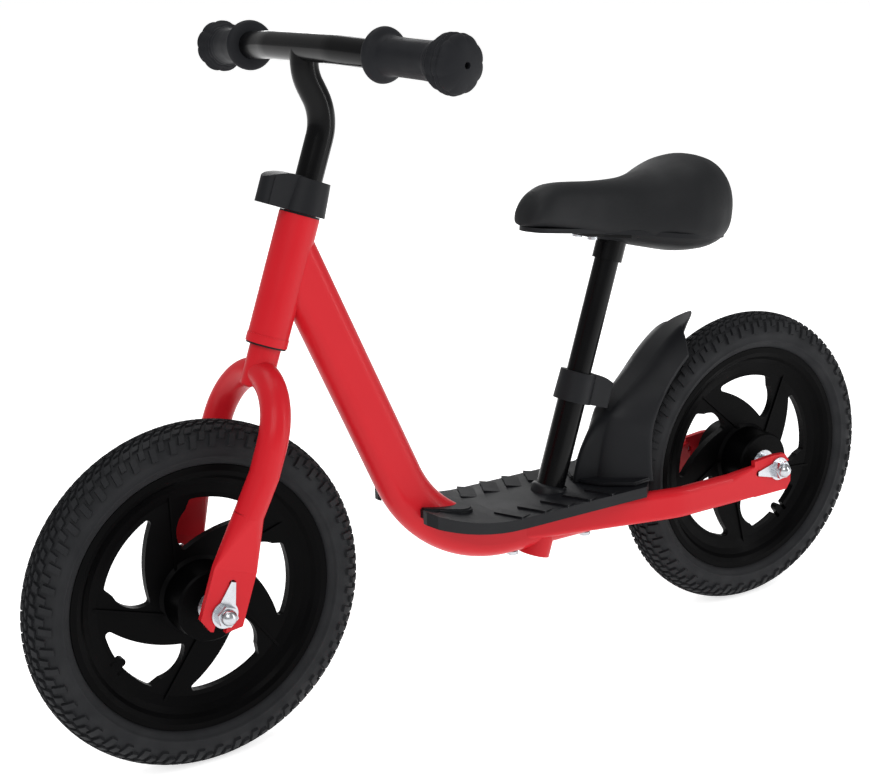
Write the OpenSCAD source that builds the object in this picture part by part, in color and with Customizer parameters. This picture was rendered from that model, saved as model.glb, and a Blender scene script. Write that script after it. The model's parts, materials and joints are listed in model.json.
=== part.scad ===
// Balance bike with foam tyres, a low bent main tube and a footboard.
// +X is forward, +Y is the rider's left, +Z is up, and the ground is Z = 0.
// The origin lies on the ground midway between the axles, with the steering straight.

/* [Wheels] */
// Diameter over the tread
wheel_d = 286; // [262:1:310]
// Distance between the axles
wheelbase = 579; // [550:1:620]
// Width of the tyre
tyre_w = 42; // [36:1:48]
// Height of the tyre from its seat on the rim to the tread
tyre_h = 36; // [30:1:40]
// Width of the rim over its lips
rim_w = 28; // [24:1:32]
// Diameter of the hub boss
hub_d = 59; // [50:1:64]
// Width of the hub over both bosses
hub_w = 63; // [56:1:70]
// Diameter of the axle
axle_d = 10; // [8:1:12]
// Outer diameter of the wheel bearing
bearing_d = 26; // [24:1:30]
// Width of the wheel bearing
bearing_w = 8; // [7:1:9]
// Distance between the inner faces of the dropouts
drop_gap = 94; // [84:1:104]

/* [Steering] */
// Angle of the steering axis above the ground
head_angle = 70; // [67:0.5:73]
// Forward offset of the front axle from the steering axis
fork_rake = 4.5; // [0:0.5:10]
// Distance from the front axle up to the lower end of the head tube
fork_drop = 207; // [195:1:225]
// Length of the head tube
head_len = 105; // [92:1:120]
// Outer diameter of the head tube
head_d = 33; // [32:0.5:36]
// Outer diameter of the steerer tube
steerer_d = 25.4; // [25:0.1:26]
// Outer diameter of the fork legs
leg_d = 24; // [20:1:26]
// Distance from the lower end of the head tube down to where the legs run straight
crown_drop = 73; // [66:1:80]

/* [Handlebar] */
// Height of the crossbar above the lower end of the head tube, along the steering axis
bar_rise = 230; // [215:1:260]
// Outer diameter of the stem and the crossbar
bar_d = 22.2; // [21:0.1:22.4]
// Half length of the straight middle of the crossbar
bar_mid = 52; // [40:1:60]
// Distance from the middle of the crossbar to each end, measured along it
bar_half = 196; // [180:1:230]
// Backward sweep of the crossbar ends
bar_sweep = 8; // [0:1:15]
// Length of a grip
grip_len = 96; // [85:1:110]
// Diameter of the grip flange
grip_flange_d = 41; // [36:1:46]
// Diameter of the knob at the end of the grip
grip_knob_d = 43; // [38:1:48]
// Diameter of the hole in the end of the grip
end_hole_d = 5; // [3:0.5:6]

/* [Frame] */
// Height of the main tube's cross-section
main_h = 43; // [36:1:48]
// Width of the main tube's cross-section
main_w = 28; // [24:1:32]
// Wall of the frame tubes
tube_wall = 1.5; // [1:0.1:2]
// Slope of the straight front part of the main tube
main_angle = 66.5; // [62:0.5:70]
// Height where the main tube's centre line meets the head tube, above its lower end
main_join = 75; // [58:1:84]
// Bend radius of the main tube at its centre line
bend_r = 120; // [90:1:140]
// Height of the main tube's level part
beam_z = 129.5; // [122:0.5:140]
// Gap between the front of the rear tyre and the end of the main tube
beam_gap = 35; // [28:1:45]
// Height of a stay's cross-section
stay_h = 29; // [24:1:32]
// Thickness of a stay's cross-section
stay_t = 14; // [10:1:16]

/* [Seat] */
// Distance from the rear axle forward to the seat tube, at the main tube's centre line
seat_x = 240.5; // [230:0.5:260]
// Angle of the seat tube above the ground
seat_angle = 71.6; // [68:0.1:76]
// Outer diameter of the seat tube
seat_tube_d = 25.4; // [25:0.1:26]
// Length of the seat tube above the main tube's centre line
seat_tube_len = 134; // [115:1:150]
// Outer diameter of the seat post
seat_post_d = 22.2; // [21:0.1:22.4]
// Length of the seat post
seat_post_len = 215; // [190:1:230]
// Distance from the main tube's centre line up to the top of the seat post
seat_post_top = 268; // [255:1:285]
// Length of the saddle
saddle_l = 221; // [205:1:240]
// Width of the saddle at its back
saddle_w = 115; // [108:1:130]
// Upward tilt of the saddle's nose
saddle_tilt = 7; // [0:1:12]

/* [Footboard] */
// Width of the footboard
board_w = 102; // [90:1:116]
// Height of the footboard's upper face above the ground
board_z = 158; // [156:0.5:164]
// Thickness of the footboard's deck and walls
board_t = 3; // [2.5:0.5:4]
// Depth of the footboard's side walls below its upper face
skirt_h = 10; // [8:1:14]
// Gap between the rear tyre and the footboard
board_gap = 5; // [4:1:8]

/* [Mudguard] */
// Half width of the mudguard at its lower edge
guard_half = 33; // [30:1:38]
// Height of the mudguard's ridge above the tread at its foot
guard_foot = 62; // [56:1:66]
// Height of the mudguard's ridge above the tread at its tail
guard_tail = 27; // [24:1:32]
// Angle of the mudguard's tail above the level of the rear axle
tail_angle = 60; // [56:1:62]
// Thickness of the mudguard's wall
guard_t = 2.5; // [2:0.5:3.5]

/* [Hidden] */
$fn = 72;

red = "#cf2b31";
black = "#1b1b1d";
satin_black = "#2a2a2c";
steel = "#b9bcc0";

// A bend is drawn this much slimmer than the straight tube, and runs this far into it
draw = 0.05;
lap_angle = 0.5;

// Clearances: a running or sliding fit, and a gap between pieces that pass each other
fit = 0.05;
gap = 0.3;

wheel_r = wheel_d / 2;
seat_r = wheel_r - tyre_h;
rear_axle_x = -wheelbase / 2;
front_axle_x = wheelbase / 2;

// Dropouts: flattened tube ends, a slot for the axle and a hole for the washer's tab
drop_t = 5;
drop_w = 37;
drop_y = drop_gap / 2 + drop_t / 2;
drop_out = drop_gap / 2 + drop_t;
slot_w = axle_d + 0.6;
tab_reach = 25;
tab_hole_d = 6;
washer_t = 1.5;
nut_t = 6;

// Steering frame: its origin is the lower end of the head tube, with Z up the axis
crown_x = front_axle_x - fork_rake * sin(head_angle) - fork_drop * cos(head_angle);
crown_z = wheel_r - fork_rake * cos(head_angle) + fork_drop * sin(head_angle);
bush_flange = 1.5;
steerer_bore = bar_d / 2 + 2 * fit;
clamp_h = 27;
clamp_z = head_len + bush_flange + gap;
steerer_top = clamp_z + 18;
crown_r = drop_y;

// Stem: a straight run, a forward bend, and a bend back up to the crossbar
stem_insert = 56;
stem_bend_z = bar_rise - 63;
stem_r1 = 42;
stem_a1 = 46;
stem_run = 9;
stem_r2 = 38;
stem_a2 = 20;
stem_end = 13;
bar_bend_r = 60;
bar_reach = stem_r1 * (1 - cos(stem_a1)) + stem_run * sin(stem_a1)
    + stem_r2 * (cos(stem_a2) - cos(stem_a1)) + stem_end * sin(stem_a2);

// Main tube: where its straight part meets the head tube and where its bend ends
join_x = crown_x - main_join * cos(head_angle);
join_z = crown_z + main_join * sin(head_angle);
corner_x = join_x - (join_z - beam_z) / tan(main_angle);
tangent = bend_r * tan(main_angle / 2);
front_run = (join_z - beam_z) / sin(main_angle) - tangent;
beam_front = corner_x - tangent;
beam_back = rear_axle_x + wheel_r + beam_gap;

// Seat tube socket and stays
socket_d = seat_tube_d + 3.6;
socket_below = 31;
seat_bore = seat_post_d / 2 + 2 * fit;
stay_z = beam_z + 3;
stay_front = beam_back + 92;
stay_bend = rear_axle_x + 118;
stay_y = drop_out - stay_t / 2;
stay_r = 60;
stay_flat = 56;
stay_angle = atan((stay_y - main_w / 2 + stay_t / 2 + 1) / (stay_front - stay_bend));

// Footboard and mudguard
board_back = rear_axle_x + wheel_r + board_gap;
board_front = corner_x + 30;
board_bend = beam_front + 15;
deck_under = beam_z + main_h / 2 + gap;
foot_h = 4;
screw_x = [beam_back + 14, beam_front - 6];
guard_screw_y = guard_half + 2;
guard_screw_x = board_back + 8;

module in_steering() {
    translate([crown_x, 0, crown_z])
        rotate([0, head_angle - 90, 0])
            children();
}

module in_seat() {
    translate([rear_axle_x + seat_x, 0, beam_z])
        rotate([0, seat_angle - 90, 0])
            children();
}

// A cylinder along Y, from y = a to y = b
module along_y(r, a, b, sides = 72) {
    translate([0, a, 0])
        rotate([-90, 0, 0])
            cylinder(r = r, h = b - a, $fn = sides);
}

module both_sides() {
    children();
    mirror([0, 1, 0])
        children();
}

module tube(outer_d, inner_d, from, to) {
    translate([0, 0, from])
        difference() {
            cylinder(d = outer_d, h = to - from);
            translate([0, 0, -1])
                cylinder(d = inner_d, h = to - from + 2);
        }
}

// Section with flat sides and round ends: x is the long way here
module racetrack(long, short) {
    end = (long - short) / 2;
    square([2 * end, short], center = true);
    for (s = [-1, 1])
        translate([s * end, 0])
            circle(d = short);
}

// ---- frame ----

module head_tube() {
    color(red)
        in_steering()
            difference() {
                union() {
                    cylinder(d = head_d, h = head_len);
                    cylinder(d = head_d + 1, h = 7);
                }
                translate([0, 0, -1])
                    cylinder(d = head_d - 4, h = head_len + 2);
            }
}

// The whole bent tube at one size of section, grown outward by grow
module main_path(grow) {
    long = main_h + 2 * grow;
    short = main_w + 2 * grow;
    translate([beam_back, 0, beam_z])
        rotate([90, 0, 90])
            linear_extrude(beam_front - beam_back)
                rotate(90)
                    racetrack(long, short);
    translate([beam_front, 0, beam_z + bend_r])
        rotate([90, 0, 0])
            rotate([0, 0, -90 - lap_angle])
                rotate_extrude(angle = main_angle + 2 * lap_angle, $fn = 144)
                    translate([bend_r, 0])
                        racetrack(long - 2 * draw, short - 2 * draw);
    translate([corner_x + tangent * cos(main_angle), 0, beam_z + tangent * sin(main_angle)])
        rotate([0, 90 - main_angle, 0])
            linear_extrude(front_run)
                racetrack(long, short);
}

module main_tube() {
    color(red)
        difference() {
            union() {
                difference() {
                    main_path(0);
                    main_path(-tube_wall);
                }
                in_seat()
                    translate([0, 0, -socket_below])
                        cylinder(d = socket_d, h = socket_below + 24);
            }
            in_steering()
                translate([0, 0, -20])
                    cylinder(d = head_d, h = head_len + 40);
            in_seat()
                translate([0, 0, -60])
                    cylinder(d = seat_tube_d + 2 * fit, h = 120);
            for (x = screw_x)
                translate([x, 0, 0])
                    cylinder(d = 5.4, h = board_z);
        }
}

// A stay before its inside is hollowed, grown outward by grow
module stay_path(grow) {
    long = stay_h + 2 * grow;
    short = stay_t + 2 * grow;
    step = stay_r * tan(stay_angle / 2);
    translate([stay_bend, stay_y, stay_z])
        rotate([0, 0, -stay_angle])
            translate([step, 0, 0])
                rotate([90, 0, 90])
                    linear_extrude((stay_front - stay_bend) / cos(stay_angle) - step)
                        rotate(90)
                            racetrack(long, short);
    translate([stay_bend - step, stay_y - stay_r, stay_z])
        rotate([0, 0, 90 - stay_angle - lap_angle])
            rotate_extrude(angle = stay_angle + 2 * lap_angle)
                translate([stay_r, 0])
                    rotate(90)
                        racetrack(long - 2 * draw, short - 2 * draw);
    translate([rear_axle_x + stay_flat, stay_y, stay_z])
        rotate([90, 0, 90])
            linear_extrude(stay_bend - step - rear_axle_x - stay_flat)
                rotate(90)
                    racetrack(long, short);
}

// The flattened end of a tube: an upright plate with its slot open towards -X
module rear_plate() {
    low = stay_z + (wheel_r - stay_z) / 2 + 1 - drop_w / 2;
    high = low + drop_w;
    translate([rear_axle_x, drop_out, 0])
        rotate([90, 0, 0])
            linear_extrude(drop_t)
                polygon([[30, low], [-11, low], [-16, low + 7], [-16, high - 12],
                         [-8, high - 1], [6, high], [30, high - 2]]);
}

module stay() {
    difference() {
        union() {
            difference() {
                stay_path(0);
                stay_path(-tube_wall);
            }
            rear_plate();
            hull() {
                translate([rear_axle_x + stay_flat, stay_y, stay_z])
                    rotate([90, 0, 90])
                        linear_extrude(1)
                            rotate(90)
                                racetrack(stay_h, stay_t, $fn = 32);
                translate([rear_axle_x + 24, drop_out - drop_t, stay_z - stay_h / 2 + 3])
                    cube([1, drop_t, drop_w - 7]);
            }
        }
        main_path(0);
        in_seat()
            cylinder(d = socket_d, h = 80, center = true);
        translate([rear_axle_x, 0, wheel_r]) {
            along_y(slot_w / 2, 0, drop_out + 1);
            translate([-30, 0, -slot_w / 2])
                cube([30, drop_out + 1, slot_w]);
            translate([tab_reach, 0, 0])
                along_y(tab_hole_d / 2, drop_out - drop_t - 1, drop_out + 1, 24);
        }
    }
}

module left_stay() {
    color(red)
        stay();
}

module right_stay() {
    color(red)
        mirror([0, 1, 0])
            stay();
}

module seat_tube() {
    color(black)
        in_seat()
            tube(seat_tube_d, 2 * seat_bore, -socket_below + 2, seat_tube_len);
}

module headset_bush(up) {
    reach = 14;
    in_steering()
        translate([0, 0, up ? head_len : 0])
            mirror([0, 0, up ? 0 : 1])
                difference() {
                    union() {
                        cylinder(d = head_d - 0.6, h = bush_flange);
                        translate([0, 0, -reach])
                            cylinder(d = head_d - 4, h = reach);
                    }
                    translate([0, 0, -reach - 1])
                        cylinder(d = steerer_d + 2 * fit, h = reach + bush_flange + 2);
                }
}

module upper_headset_bush() {
    color(black)
        headset_bush(true);
}

module lower_headset_bush() {
    color(black)
        headset_bush(false);
}

// ---- footboard ----

// Side outline of the footboard: level, then rising beside the bend at its front
module board_side(down) {
    rise = 24;
    front_drop = skirt_h + 2;
    polygon(concat(
        [[board_back, board_z - down], [board_back, board_z], [board_bend, board_z]],
        [for (i = [1:8]) let (u = i / 8)
            [board_bend + u * (board_front - board_bend), board_z + rise * u * u]],
        [for (i = [8:-1:1]) let (u = i / 8)
            [board_bend + u * (board_front - board_bend),
             board_z + rise * u * u - down - u * u * (front_drop - down) * sign(skirt_h - down + 1)]],
        [[board_bend, board_z - down]]));
}

module board_plan(inset) {
    w = board_w / 2 - inset;
    back = board_back + inset;
    front = board_front - inset;
    polygon([[back, -w + 12], [back + 12, -w], [front - 6, -w], [front, -w + 8],
             [front, w - 8], [front - 6, w], [back + 12, w], [back, w - 12]]);
}

module footboard() {
    notch_w = main_w + 2 * gap;
    collar = 9;
    rib_pitch = 24.5;
    rib_h = 2;
    color(satin_black)
        difference() {
            union() {
                intersection() {
                    translate([0, board_w, 0])
                        rotate([90, 0, 0])
                            linear_extrude(2 * board_w)
                                board_side(skirt_h);
                    linear_extrude(board_z + 60)
                        board_plan(0);
                }
                translate([corner_x, 0, board_z - 4])
                    rotate([0, -15, 0])
                        linear_extrude(16)
                            racetrack(58, notch_w + 2 * collar);
                for (i = [0:4], s = [-1, 1])
                    translate([board_bend - 2 - i * rib_pitch, s * (board_w / 2 - 2), board_z - 1])
                        rotate([0, 0, s * 25])
                            translate([0, s > 0 ? 0 : 28, 0])
                                rotate([90, 0, 0])
                                    linear_extrude(28)
                                        polygon([[-9, 0], [6, 0], [6, rib_h + 1], [-9, 1]]);
            }
            // Hollow underside
            intersection() {
                translate([0, board_w, -board_t])
                    rotate([90, 0, 0])
                        linear_extrude(2 * board_w)
                            board_side(skirt_h + 20);
                translate([0, 0, 0])
                    linear_extrude(board_z + 60)
                        board_plan(board_t);
            }
            // Room for the main tube, its socket and the seat tube
            main_path(gap);
            translate([board_front + 5, 0, 0])
                cylinder(r = board_w / 2 - 13, h = board_z + 80);
            in_seat()
                cylinder(d = socket_d + 1, h = 80);
            // The rear tyre
            translate([rear_axle_x, 0, wheel_r])
                along_y(wheel_r + board_gap, -tyre_w / 2 - 4, tyre_w / 2 + 4, 144);
            for (s = [-1, 1])
                translate([guard_screw_x, s * guard_screw_y, 0])
                    cylinder(d = 4.4, h = board_z + 10, $fn = 24);
        }
    // Bosses that the frame screws bite into
    color(satin_black)
        for (x = screw_x)
            translate([x, 0, deck_under])
                difference() {
                    cylinder(d = 12, h = board_z - 1 - deck_under);
                    translate([0, 0, -1])
                        cylinder(d = 5, h = board_z - 3 - deck_under);
                }
}

module screw(d, head, length, head_h = 3) {
    cylinder(d = d, h = length, $fn = 24);
    translate([0, 0, -head_h])
        difference() {
            cylinder(d = head, h = head_h, $fn = 32);
            translate([0, 0, -1])
                cylinder(d = d * 0.8, h = head_h * 0.6 + 1, $fn = 6);
        }
}

module footboard_screws() {
    color(steel)
        for (x = screw_x)
            translate([x, 0, beam_z - main_h / 2])
                screw(5, 10, board_z - 4 - beam_z + main_h / 2);
}

// ---- mudguard ----

// Radii about the wheel's centre at angle a above level: the rib down the middle, the shell
// beside it, and the lower edge; and the half width, which flares at the foot
function rib_r(a) = wheel_r + guard_tail
    + (guard_foot - guard_tail) * (0.5 + 0.5 * cos(min(180, max(0, (a - 3) * 4.35))));
function shell_r(a) = min(wheel_r + guard_foot - 18, rib_r(a));
function edge_r(a) = wheel_r + lookup(a, [[2, 4], [16, 7], [28, 12], [61, 15]]);
function half_at(a) = guard_half + lookup(a, [[4, 10], [12, 5], [22, 1], [61, -1]]);
function guard_r(a, y) = let (rib = 11, u = abs(y) / rib, v = max(0, (abs(y) - 9) / (half_at(a) - 9)))
    shell_r(a) - (shell_r(a) - edge_r(a)) * pow(v, 1.7)
    + (u < 1 ? (rib_r(a) - shell_r(a)) * pow(1 - u * u, 0.7) : 0);
function foot_angle(r) = asin((board_z + gap + 0.3 - wheel_r) / r);

// A curved sheet of thickness guard_t. face(u, v) gives [angle, across, radius] on its outside.
module curved_sheet(face, rows, half_cols) {
    n = 2 * half_cols + 1;
    ring = 2 * n;
    points = [for (k = [0:rows], j = [0:ring - 1])
        let (inside = j >= n,
             i = inside ? ring - 1 - j : j,
             p = face(k / rows, i / half_cols - 1),
             r = p[2] - (inside ? guard_t : 0))
        [r * cos(p[0]), p[1], r * sin(p[0])]];
    skin = [for (k = [0:rows - 1], j = [0:ring - 1])
        let (a = k * ring + j, b = k * ring + (j + 1) % ring) each
            [[a, a + ring, b + ring], [a, b + ring, b]]];
    first = [for (i = [0:n - 2]) each
        [[i, i + 1, ring - 2 - i], [i, ring - 2 - i, ring - 1 - i]]];
    last = [for (i = [0:n - 2]) let (b = rows * ring) each
        [[b + i, b + ring - 2 - i, b + i + 1], [b + i, b + ring - 1 - i, b + ring - 2 - i]]];
    polyhedron(points, concat(skin, first, last));
}

// The main shell, and the pointed beak that comes out from under its tail
shell_face = function (u, v)
    let (y0 = half_at(6) * v,
         start = foot_angle(guard_r(6, y0)),
         a = start + (tail_angle - 4 * abs(v) - start) * u,
         y = half_at(a) * sign(v) * pow(abs(v), 1.15))
    [a, y, guard_r(a, y)];
beak_face = function (u, v)
    let (a = tail_angle - 7 + 13 * u, y = v * (1 + 19 * (1 - u)))
    [a, y, wheel_r + guard_tail + 1 - guard_t - 0.03 * y * y];

module mudguard() {
    foot_front = rear_axle_x + wheel_r + guard_foot - 3;
    wide = guard_half + 12;
    color(satin_black)
        difference() {
            union() {
                translate([rear_axle_x, 0, wheel_r]) {
                    curved_sheet(shell_face, 20, 11);
                    curved_sheet(beak_face, 6, 3);
                }
                translate([0, 0, board_z])
                    linear_extrude(foot_h)
                        polygon([[board_back, -wide + 3], [board_back, wide - 3],
                                 [board_back + 20, wide], [foot_front - 10, wide * 0.6],
                                 [foot_front, 8], [foot_front, -8],
                                 [foot_front - 10, -wide * 0.6], [board_back + 20, -wide]]);
            }
            translate([rear_axle_x, 0, wheel_r])
                along_y(wheel_r + board_gap, -tyre_w / 2 - 4, tyre_w / 2 + 4, 144);
            for (s = [-1, 1])
                translate([guard_screw_x, s * guard_screw_y, board_z - 1])
                    cylinder(d = 3.4, h = foot_h + 0.6, $fn = 24);
        }
}

module mudguard_screws() {
    color(steel)
        for (s = [-1, 1])
            translate([guard_screw_x, s * guard_screw_y, board_z - board_t])
                screw(3.4, 7, board_t + foot_h - 0.5, 2);
}

// ---- clamps ----

// Plastic cover of a clamp: a ring round the tube and a lobe that holds the bolt
module clamp_cover(low_r, high_r, cavity_r, tube_r) {
    lobe_reach = 40;
    lobe_w = 21;
    wall = 2;
    difference() {
        union() {
            cylinder(r1 = low_r, r2 = high_r, h = clamp_h);
            intersection() {
                linear_extrude(clamp_h + 3) {
                    translate([0, -lobe_w / 2])
                        square([lobe_reach - 6, lobe_w]);
                    translate([lobe_reach - lobe_w / 2, 0])
                        circle(d = lobe_w);
                }
                translate([14, 60, -18])
                    rotate([90, 0, 0])
                        cylinder(r = 46, h = 120, $fn = 144);
            }
        }
        translate([0, 0, -1])
            cylinder(r = cavity_r, h = clamp_h - wall + 1);
        translate([0, 0, -1])
            cylinder(r = tube_r + gap, h = clamp_h + 5);
        translate([0, -lobe_w / 2 + wall, -1])
            cube([lobe_reach - 6, lobe_w - 2 * wall, clamp_h - 2 * wall + 1]);
    }
}

// Steel band with two ears, split at the ears
module clamp_band(inner_r) {
    thick = 1.8;
    ear = 14;
    slit = 3;
    band_h = 13;
    difference() {
        union() {
            cylinder(r = inner_r + thick, h = band_h);
            translate([0, -slit / 2 - thick, 0])
                cube([inner_r + ear, slit + 2 * thick, band_h]);
        }
        translate([0, 0, -1])
            cylinder(r = inner_r, h = band_h + 2);
        translate([0, -slit / 2, -1])
            cube([inner_r + ear + 1, slit, band_h + 2]);
        translate([inner_r + ear - 5, 0, band_h / 2])
            along_y(2.6, -10, 10, 24);
    }
}

// Bolt across the ears with a nut on its far end
module clamp_bolt(inner_r) {
    ear = 14;
    hold = 1.5 + 1.8;
    translate([inner_r + ear - 5, 0, 6.5]) {
        along_y(2.5, -hold - 3.6, hold + 0.5, 24);
        along_y(4, hold, hold + 4, 6);
        along_y(4.6, -hold - 3.5, -hold, 6);
    }
}

band_z = 3;

module headset_clamp_cover() {
    color(satin_black)
        in_steering()
            translate([0, 0, clamp_z])
                clamp_cover(20, 17.8, steerer_d / 2 + 2.2, bar_d / 2);
}

module headset_clamp_band() {
    color(steel)
        in_steering()
            translate([0, 0, clamp_z + band_z])
                clamp_band(steerer_d / 2 + fit);
}

module headset_clamp_bolt() {
    color(steel)
        in_steering()
            translate([0, 0, clamp_z + band_z])
                clamp_bolt(steerer_d / 2 + fit);
}

module in_seat_clamp() {
    in_seat()
        translate([0, 0, seat_tube_len - 22])
            mirror([1, 0, 0])
                children();
}

module seat_clamp_cover() {
    color(satin_black)
        in_seat_clamp()
            clamp_cover(17.2, 16.5, seat_tube_d / 2 + 2.2, seat_post_d / 2);
}

module seat_clamp_band() {
    color(steel)
        in_seat_clamp()
            translate([0, 0, band_z])
                clamp_band(seat_tube_d / 2 + fit);
}

module seat_clamp_bolt() {
    color(steel)
        in_seat_clamp()
            translate([0, 0, band_z])
                clamp_bolt(seat_tube_d / 2 + fit);
}

// ---- axles and their hardware, all drawn about the axle's centre ----

axle_half = drop_out + washer_t + nut_t + 3;

module axle() {
    color(steel)
        along_y(axle_d / 2, -axle_half, axle_half);
}

module spacers() {
    color(steel)
        both_sides()
            difference() {
                along_y(9, hub_w / 2 + gap, drop_gap / 2);
                along_y(axle_d / 2 + fit, 0, drop_gap);
            }
}

// A washer whose tongue drops into a hole in the dropout, so it can't turn
module tab_washers(tongue_angle) {
    color(steel)
        both_sides()
            rotate([0, tongue_angle, 0])
                difference() {
                    union() {
                        along_y(11, drop_out, drop_out + washer_t);
                        translate([0, drop_out + washer_t, 0])
                            rotate([90, 0, 0])
                                linear_extrude(washer_t)
                                    polygon([[0, -9], [tab_reach + 1.5, -2], [tab_reach + 1.5, 2],
                                             [0, 9]]);
                        translate([tab_reach - 1.5, drop_out - 3, -2])
                            cube([3, 4, 4]);
                    }
                    along_y(axle_d / 2 + fit, 0, drop_gap);
                }
}

module dome_nuts() {
    seat = drop_out + washer_t;
    color(steel)
        both_sides()
            difference() {
                union() {
                    along_y(8.8, seat, seat + nut_t, 6);
                    translate([0, seat + nut_t, 0])
                        sphere(r = 6.6);
                }
                along_y(axle_d / 2 + fit, 0, axle_half + gap);
            }
}

module at_front_axle() {
    in_steering()
        translate([fork_rake, 0, -fork_drop])
            children();
}

module at_rear_axle() {
    translate([rear_axle_x, 0, wheel_r])
        children();
}

module front_axle() {
    at_front_axle()
        axle();
}

module front_spacers() {
    at_front_axle()
        spacers();
}

module front_tab_washers() {
    at_front_axle()
        tab_washers(-90);
}

module front_dome_nuts() {
    at_front_axle()
        dome_nuts();
}

module rear_axle() {
    at_rear_axle()
        axle();
}

module rear_spacers() {
    at_rear_axle()
        spacers();
}

module rear_tab_washers() {
    at_rear_axle()
        tab_washers(0);
}

module rear_dome_nuts() {
    at_rear_axle()
        dome_nuts();
}

// ---- fork ----

module steerer_tube() {
    color(red)
        in_steering()
            difference() {
                translate([0, 0, -34])
                    cylinder(d = steerer_d, h = steerer_top + 34);
                translate([0, 0, -20])
                    cylinder(r = steerer_bore, h = steerer_top + 40);
            }
}

// One leg: crown bend, upright run, a slight forward bend and a lower run
module leg_path(grow) {
    d = leg_d + 2 * grow;
    kink = crown_drop + 22;
    lower = crown_drop + 55;
    translate([0, 0, -crown_drop])
        rotate([90, 0, 90])
            rotate_extrude(angle = 90)
                translate([crown_r, 0])
                    circle(d = d);
    translate([0, drop_y, -kink])
        cylinder(d = d, h = kink - crown_drop);
    translate([0, drop_y, -kink])
        sphere(d = d);
    translate([0, drop_y, -kink])
        rotate([0, 180 - atan(fork_rake / (lower - kink)), 0])
            cylinder(d = d, h = (lower - kink) / cos(atan(fork_rake / (lower - kink))));
}

module fork_leg() {
    flat_top = fork_drop - 35;
    difference() {
        union() {
            difference() {
                leg_path(0);
                leg_path(-tube_wall);
            }
            hull() {
                translate([fork_rake, drop_y, -crown_drop - 56])
                    cylinder(d = leg_d, h = 2, $fn = 32);
                translate([fork_rake - drop_w / 2, drop_y - drop_t / 2, -flat_top])
                    cube([drop_w, drop_t, 1]);
            }
            translate([fork_rake, drop_out, -fork_drop])
                rotate([90, 0, 0])
                    linear_extrude(drop_t)
                        polygon([[-drop_w / 2, 36], [-drop_w / 2, -8], [-5, -15], [8, -15],
                                 [drop_w / 2, -7], [drop_w / 2, 36]]);
        }
        cylinder(d = steerer_d, h = 400, center = true);
        translate([-50, -100, -300])
            cube([100, 100, 600]);
        translate([fork_rake, 0, -fork_drop]) {
            along_y(slot_w / 2, 0, drop_out + 1);
            translate([-slot_w / 2, 0, -40])
                cube([slot_w, drop_out + 1, 40]);
            translate([0, 0, tab_reach])
                along_y(tab_hole_d / 2, drop_out - drop_t - 1, drop_out + 1, 24);
        }
    }
}

module left_fork_leg() {
    color(red)
        in_steering()
            fork_leg();
}

module right_fork_leg() {
    color(red)
        in_steering()
            mirror([0, 1, 0])
                fork_leg();
}

// ---- handlebar ----

module stem_shape(d) {
    x1 = stem_r1 * (1 - cos(stem_a1));
    z1 = stem_bend_z + stem_r1 * sin(stem_a1);
    x2 = x1 + stem_run * sin(stem_a1);
    z2 = z1 + stem_run * cos(stem_a1);
    x3 = x2 + stem_r2 * (cos(stem_a2) - cos(stem_a1));
    z3 = z2 + stem_r2 * (sin(stem_a1) - sin(stem_a2));
    translate([0, 0, head_len - stem_insert])
        cylinder(d = d, h = stem_bend_z - head_len + stem_insert);
    translate([stem_r1, 0, stem_bend_z])
        rotate([90, 0, 0])
            rotate([0, 0, 180 - stem_a1 - lap_angle])
                rotate_extrude(angle = stem_a1 + 2 * lap_angle)
                    translate([stem_r1, 0])
                        circle(d = d - 2 * draw);
    translate([x1, 0, z1])
        rotate([0, stem_a1, 0])
            cylinder(d = d, h = stem_run);
    translate([x2 - stem_r2 * cos(stem_a1), 0, z2 + stem_r2 * sin(stem_a1)])
        rotate([90, 0, 0])
            rotate([0, 0, -stem_a1 - lap_angle])
                rotate_extrude(angle = stem_a1 - stem_a2 + 2 * lap_angle)
                    translate([stem_r2, 0])
                        circle(d = d - 2 * draw);
    translate([x3, 0, z3])
        rotate([0, stem_a2, 0])
            cylinder(d = d, h = stem_end);
}

bar_z = stem_bend_z + stem_r1 * sin(stem_a1) + stem_run * cos(stem_a1)
    + stem_r2 * (sin(stem_a1) - sin(stem_a2)) + stem_end * cos(stem_a2);

module stem_tube() {
    color(black)
        in_steering()
            difference() {
                stem_shape(bar_d);
                stem_shape(bar_d - 2 * tube_wall);
                translate([bar_reach, 0, bar_z])
                    along_y(bar_d / 2, -30, 30);
                translate([0, 0, head_len - stem_insert - 1])
                    cylinder(d = bar_d - 2 * tube_wall, h = 2);
            }
}

// Everything drawn in here starts where the crossbar's lines cross and runs out along +Y
module at_bar_end() {
    translate([bar_reach, bar_mid, bar_z])
        rotate([0, 0, bar_sweep])
            children();
}

module bar_path(d) {
    step = bar_bend_r * tan(bar_sweep / 2);
    translate([bar_reach, 0, bar_z])
        along_y(d / 2, step - bar_mid, bar_mid - step);
    both_sides() {
        translate([bar_reach - bar_bend_r, bar_mid - step, bar_z])
            rotate([0, 0, -lap_angle])
                rotate_extrude(angle = bar_sweep + 2 * lap_angle)
                    translate([bar_bend_r, 0])
                        circle(d = d - 2 * draw);
        at_bar_end()
            along_y(d / 2, step, bar_half - bar_mid);
    }
}

module crossbar() {
    color(black)
        in_steering()
            difference() {
                bar_path(bar_d);
                bar_path(bar_d - 2 * tube_wall);
                both_sides()
                    at_bar_end()
                        along_y(bar_d / 2 - tube_wall, bar_half - bar_mid - 1, bar_half);
            }
}

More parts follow.
